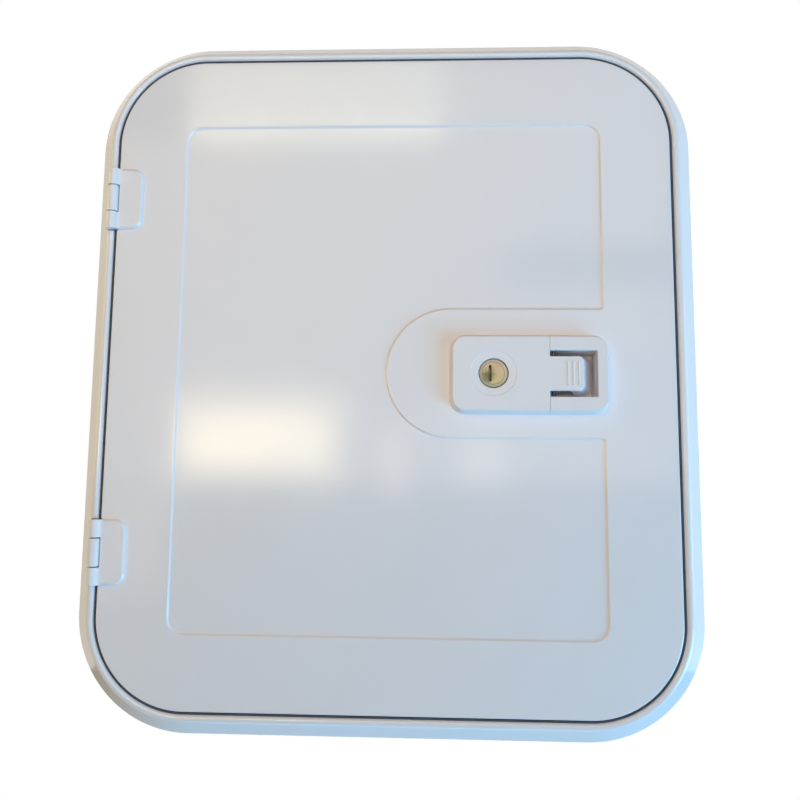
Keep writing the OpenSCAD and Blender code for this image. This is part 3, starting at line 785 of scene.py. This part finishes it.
def latch_bezel():
    """U-shaped bezel round the tab, with the dish under it."""
    gap = 0.15
    x = PART_X + gap
    half, window = BLOCK_H / 2, WINDOW_H / 2
    part, corner = (-1, 0, PART_WALL), 0.7
    right = BLOCK_RIGHT - BLOCK_R

    def window_corner(cy, start):
        return [
            column(px, py, ((WINDOW_X - corner - px) / corner, (cy - py) / corner, SLOT_WALL))
            for px, py in arc(WINDOW_X - corner, cy, corner, start, start - 90, 5)
        ]

    columns = (
        [column(x, -half, part, (0, -1, BLOCK_WALL))]
        + block_corner(right, BLOCK_R - half, 270)
        + block_corner(right, half - BLOCK_R, 0)
        + [column(x, half, part, (0, 1, BLOCK_WALL))]
        + [column(x, window, part, (0, -1, SLOT_WALL))]
        + window_corner(window - corner, 90)
        + window_corner(corner - window, 0)
        + [column(x, -window, part, (0, 1, SLOT_WALL))]
    )
    shell = Shell()
    rings = [shell.ring([points[k] for points in columns]) for k in range(len(HEIGHTS))]
    shell.wall(*rings)
    shell.cap(rings[0])
    shell.cap(rings[-1])
    add_dish(shell)
    piece = dress(shell.solid("latch_bezel_and_dish"), LATCH_WHITE, "latch_moulding", "latch_bezel")
    ride(piece, "latch_bezel")


def add_dish(shell):
    """The dish that a finger reaches into behind the tab."""
    left, right = PART_X, WINDOW_X
    cx = (left + right) / 2

    def outline(d, r):
        return rounded(right - left + 2 * d, WINDOW_H + 2 * d, r, cx, LATCH_Y, 5)

    def rim(points):
        return [(x, y, FACE - FIT if x < left + 0.5 else FACE) for x, y in points]

    outer = [shell.ring(outline(DISH_T, 1.5), DISH_Z - DISH_T), shell.ring(rim(outline(DISH_T, 1.5)))]
    inner = [shell.ring(rim(outline(0, 0.7)))]
    inner += [shell.ring(outline(-d, 0.75), z) for d, z in ((0, DISH_Z + 0.6), (0.6, DISH_Z))]
    shell.wall(*outer, *inner)
    shell.cap(outer[0])
    shell.cap(inner[-1])


# Lock


def lock():
    """Lock barrel with the key plug turning in it."""
    top, bottom, bore = LOCK_TOP, LOCK_BOTTOM, PLUG_R + 0.05
    shell = Shell()
    profile = [(bore, bottom), (LOCK_R, bottom)]
    profile += [(LOCK_R - 0.4 + 0.4 * math.cos(a), top - 0.4 + 0.4 * math.sin(a)) for a in (0, 0.5, 1, 1.57)]
    profile += [(7.45, top), (7.35, top - 0.3), (7.1, top - 0.3), (7, top)]
    profile += [(bore + 0.12, top), (bore + 0.03, top - 0.03), (bore, top - 0.3)]
    rings = [shell.ring(circle(r, LOCK_X, LATCH_Y), z) for r, z in profile]
    shell.wall(*rings, rings[0])
    ride(dress(shell.solid("lock_ring"), NICKEL, "lock_nickel", "lock_barrel"), "lock_barrel")
    shell = Shell()
    profile = [(PLUG_R, bottom), (PLUG_R, top - 0.12), (PLUG_R - 0.03, top - 0.03)]
    profile += [(PLUG_R - 0.12, top), (PLUG_R - 0.9, top)]
    lathe(shell, LOCK_X, LATCH_Y, profile)
    plug = shell.solid("lock_plug")
    combine(plug, keyway())
    ride(dress(plug, BRASS, "lock_brass", "key_plug"), "key_plug")


def keyway():
    x, w, h, depth = KEYWAY
    shell = Shell()
    outline = rounded(w, h, w / 2 - 0.01, LOCK_X + x, LATCH_Y, 6)
    levels = [(0, LOCK_TOP - depth), (0, LOCK_TOP - 0.25), (0.3, LOCK_TOP + 0.05), (0.3, LOCK_TOP + 1)]
    rings = [shell.ring(offset(outline, d), z) for d, z in levels]
    shell.wall(*rings)
    shell.cap(rings[0])
    shell.cap(rings[-1])
    return shell.solid("keyway")


# Screws


def recess(turn, depth, r, z):
    """Cutter for one bar of a screw's cross recess, with its mouth at height z."""
    c, s = math.cos(math.radians(turn)), math.sin(math.radians(turn))
    shell = Shell()
    rings = []
    for k, level in ((1.25, z - depth / 2), (0.6, z + depth)):
        box = [(-k * r, -0.18 * r), (k * r, -0.18 * r), (k * r, 0.18 * r), (-k * r, 0.18 * r)]
        rings.append(shell.ring([(x * c - y * s, x * s + y * c) for x, y in box], level))
    shell.wall(*rings)
    shell.cap(rings[0])
    shell.cap(rings[1])
    return shell.solid("recess")


def screws(name, node, places, seat, r, length, flat=False):
    """Screws seen from behind, with round or countersunk heads and cross recesses."""
    head_r, head_h = 1.8 * r, 1.3 * r
    shell = Shell()
    if flat:
        profile = [(head_r - 0.05, 0), (head_r, 0.08), (r, 0.8 * r), (r, length)]
        mouth = 0
    else:
        dome = [(head_r * math.sin(a), head_h * (1 - math.cos(a))) for a in (0.35, 0.7, 1.05, 1.4)]
        profile = [(x, z - head_h) for x, z in dome] + [(head_r, 0), (r, 0), (r, length)]
        mouth = -head_h
    lathe(shell, 0, 0, [(x, z) for x, z in profile], 24)
    master = shell.solid("screw")
    for turn in (0, 90):
        combine(master, recess(turn, 0.9 * r, 0.95 * r, mouth))
    joined = bmesh.new()
    for x, y in places:
        start = len(joined.verts)
        joined.from_mesh(master.data)
        joined.verts.ensure_lookup_table()
        turn = Matrix.Rotation(x * 1.7 + y, 3, "Y")
        home = row(0, 0, 0)
        for vertex in joined.verts[start:]:
            vertex.co = turn @ (vertex.co - home) + row(x, y, seat)
    mesh = bpy.data.meshes.new(name)
    joined.to_mesh(mesh)
    joined.free()
    piece = bpy.data.objects.new(name, mesh)
    bpy.context.scene.collection.objects.link(piece)
    bpy.data.objects.remove(master)
    ride(dress(piece, STEEL, "screw_steel", node), node)


def all_screws():
    x, y = OPEN_W / 2 - 3.2, OPEN_H / 2 - 3.2
    places = [(s * x, k * OPEN_H * 0.12) for s in (-1, 1) for k in (-3, -1, 1, 3)]
    places += [(k * OPEN_W * 0.22, s * y) for s in (-1, 1) for k in (-1, 1)]
    screws("trim_screws", "frame_screws", places, FLANGE_BACK, 1.5, 15.5)
    x, y = DOOR_W / 2 - EDGE_T - 5.5, DOOR_H / 2 - EDGE_T - 5.5
    places = [(s * x, k * DOOR_H * 0.3) for s in (-1, 1) for k in (-1, 0, 1)]
    places += [(k * DOOR_W * 0.2, s * y) for s in (-1, 1) for k in (-1, 1)]
    screws("pan_screws", "liner_screws", places, DOOR_BACK, 1.5, 7.5, True)


def hidden_metalwork():
    """CAD pieces that keep their shape: edges are eased and they get their finish."""
    finishes = {
        "keeper": STEEL, "keeper_screws": STEEL, "latch_screws": STEEL, "latch_bolt": STEEL,
        "lock_cam": STEEL, "latch_case": CASE_GREY, "bolt_guide": CASE_GREY,
        "hinge_pin_top": PIN_STEEL, "hinge_pin_bottom": PIN_STEEL, "tab_pin": PIN_STEEL,
    }
    for name, material in finishes.items():
        node = frame["nodes"][name]
        node.data.materials.clear()
        node.data.materials.append(material)
        bevel = node.modifiers.new("eased edges", "BEVEL")
        bevel.width = 0.0002
        bevel.segments = 2
        bevel.limit_method = "ANGLE"
        bevel.angle_limit = math.radians(50)


# Surroundings


def background():
    """White behind the object, and an even light of its own on the object."""
    world = bpy.data.worlds.new("surroundings")
    bpy.context.scene.world = world
    world.use_nodes = True
    tree = world.node_tree
    tree.nodes.clear()

    def add(kind):
        return tree.nodes.new(kind)

    path, out, choice = add("ShaderNodeLightPath"), add("ShaderNodeOutputWorld"), add("ShaderNodeMixShader")
    white, ambient = add("ShaderNodeBackground"), add("ShaderNodeBackground")
    white.inputs["Color"].default_value = (1, 1, 1, 1)
    ambient.inputs["Color"].default_value = (*AMBIENT, 1)
    either = add("ShaderNodeMath")
    either.operation = "MAXIMUM"
    seen = add("ShaderNodeMath")
    seen.operation = "MAXIMUM"
    tree.links.new(path.outputs["Is Camera Ray"], either.inputs[0])
    tree.links.new(path.outputs["Is Glossy Ray"], either.inputs[1])
    tree.links.new(either.outputs[0], seen.inputs[0])
    tree.links.new(path.outputs["Is Transmission Ray"], seen.inputs[1])
    tree.links.new(seen.outputs[0], choice.inputs["Fac"])
    tree.links.new(ambient.outputs[0], choice.inputs[1])
    tree.links.new(white.outputs[0], choice.inputs[2])
    tree.links.new(choice.outputs[0], out.inputs["Surface"])


def area_light(name, aim, direction, distance, size, radiance):
    """A soft light that looks at a point from that direction. Its colour carries its tint."""
    direction = Vector(direction).normalized()
    peak = max(radiance)
    light = bpy.data.lights.new(name, "AREA")
    light.shape = "RECTANGLE"
    light.size, light.size_y = size
    light.color = [c / peak for c in radiance]
    light.energy = peak * math.pi * size[0] * size[1]
    lamp = bpy.data.objects.new(name, light)
    lamp.location = Vector(aim) + direction * distance
    lamp.rotation_euler = direction.to_track_quat("Z", "Y").to_euler()
    lamp.visible_camera = False
    bpy.context.scene.collection.objects.link(lamp)
    return lamp


AMBIENT = (0.01, 0.01, 0.01)
CENTRE, EDGE, FACING = row(0, 0, FACE), row(0, 0, 0), (0, -1, 0)
ROOM_FAR, LAMP_FAR, CORE_FAR = 0.9, 0.88, 0.86
ROOM_WALL, LAMP_GLOW = (1.68, 1.4, 1.18), (2.7, 2.2, 1.7)
LIGHTS = {
    "window": (CENTRE, (0.7, -0.6, -0.4), 2.2, (1, 0.8), (2, 5.2, 8)),
    "window_low": (CENTRE, (0.78, -0.35, -0.42), 1.2, (0.5, 0.5), (0.8, 2.9, 4.5)),
    "window_sill": (CENTRE, (0.84, -0.25, -0.47), 1.2, (0.4, 0.4), (1.6, 5.6, 8.9)),
    "left_side": (CENTRE, (-0.97, -0.15, 0.2), 1.3, (0.6, 0.6), (3.3, 2.4, 0.7)),
    "right_edge": (EDGE, (1, 0.06, 0), 1, (0.5, 0.5), (2.6, 2, 1.1)),
    "low_edge": (EDGE, (0, 0.06, -1), 0.75, (0.5, 0.3), (0.7, 1.4, 2)),
    "behind": (EDGE, (0, 1, 0), 1.3, (0.9, 0.9), (3.2, 3.2, 3.2)),
    "wall_left": (row(-203, 258, FACE), FACING, ROOM_FAR, (0.706, 0.62), ROOM_WALL),
    "wall_low": (row(-495, -150, FACE), FACING, ROOM_FAR, (0.122, 0.19), (1.3, 0.9, 0.5)),
    "wall_right": (row(303, 120, FACE), FACING, ROOM_FAR, (0.306, 0.345), ROOM_WALL),
    "wall_high": (row(303, 468, FACE), FACING, ROOM_FAR, (0.306, 0.206), ROOM_WALL),
    "wall_top": (row(250, 646, FACE), FACING, ROOM_FAR, (0.411, 0.148), ROOM_WALL),
    "ceiling": (row(-187, 646, FACE), FACING, ROOM_FAR, (0.465, 0.148), (3.9, 3.5, 2.5)),
    "cornice": (row(-187, 569, FACE), FACING, LAMP_FAR, (0.455, 0.022), (5.8, 5.6, 3.9)),
    "lamp": (row(-267, 22, FACE), FACING, LAMP_FAR, (0.299, 0.162), (3.6, 2.9, 1.9)),
    "lamp_core": (row(-272, 18, FACE), FACING, CORE_FAR, (0.239, 0.092), (5.9, 4.8, 2.7)),
    "lamp_middle": (row(-37, -23, FACE), FACING, LAMP_FAR, (0.05, 0.115), LAMP_GLOW),
    "lamp_right": (row(110, -18, FACE), FACING, LAMP_FAR, (0.075, 0.075), LAMP_GLOW),
}


def floor():
    """A pale floor well below the object, which keeps the object's shadow."""
    mesh = bpy.data.meshes.new("floor")
    size, height = 1.3, -0.6
    corners = [(-size, -size, height), (size, -size, height), (size, size, height), (-size, size, height)]
    mesh.from_pydata(corners, [], [(0, 1, 2, 3)])
    plane = bpy.data.objects.new("floor", mesh)
    bpy.context.scene.collection.objects.link(plane)
    nodes = Nodes("pale_floor")
    nodes.shader.inputs["Roughness"].default_value = 0.9
    nodes.link(nodes.tint(nodes.noise(3), (0.9, 0.9, 0.9), (0.93, 0.93, 0.93)), nodes.shader.inputs["Base Color"])
    mesh.materials.append(nodes.material)


def camera():
    lens = bpy.data.cameras.new("camera")
    lens.lens = 34.38
    lens.sensor_width = 36
    lens.clip_start = 0.01
    eye = bpy.data.objects.new("camera", lens)
    eye.location = (0.0230, -0.4277, 0.1277)
    eye.rotation_euler = [math.radians(a) for a in (96.61, -0.591, 2.219)]
    bpy.context.scene.collection.objects.link(eye)
    bpy.context.scene.camera = eye


outer_frame()
door_seal()
inner_frame()
door_panel()
door_liner()
hinge_leaf(HINGE_Y[0], "top_leaf", "hinge_leaf_top")
hinge_leaf(HINGE_Y[1], "bottom_leaf", "hinge_leaf_bottom")
latch_cover_and_tab()
tab_ribs()
latch_bezel()
lock()
all_screws()
hidden_metalwork()
background()
for name, values in LIGHTS.items():
    area_light(name, *values)
floor()
camera()
bpy.context.scene.view_settings.view_transform = "Standard"
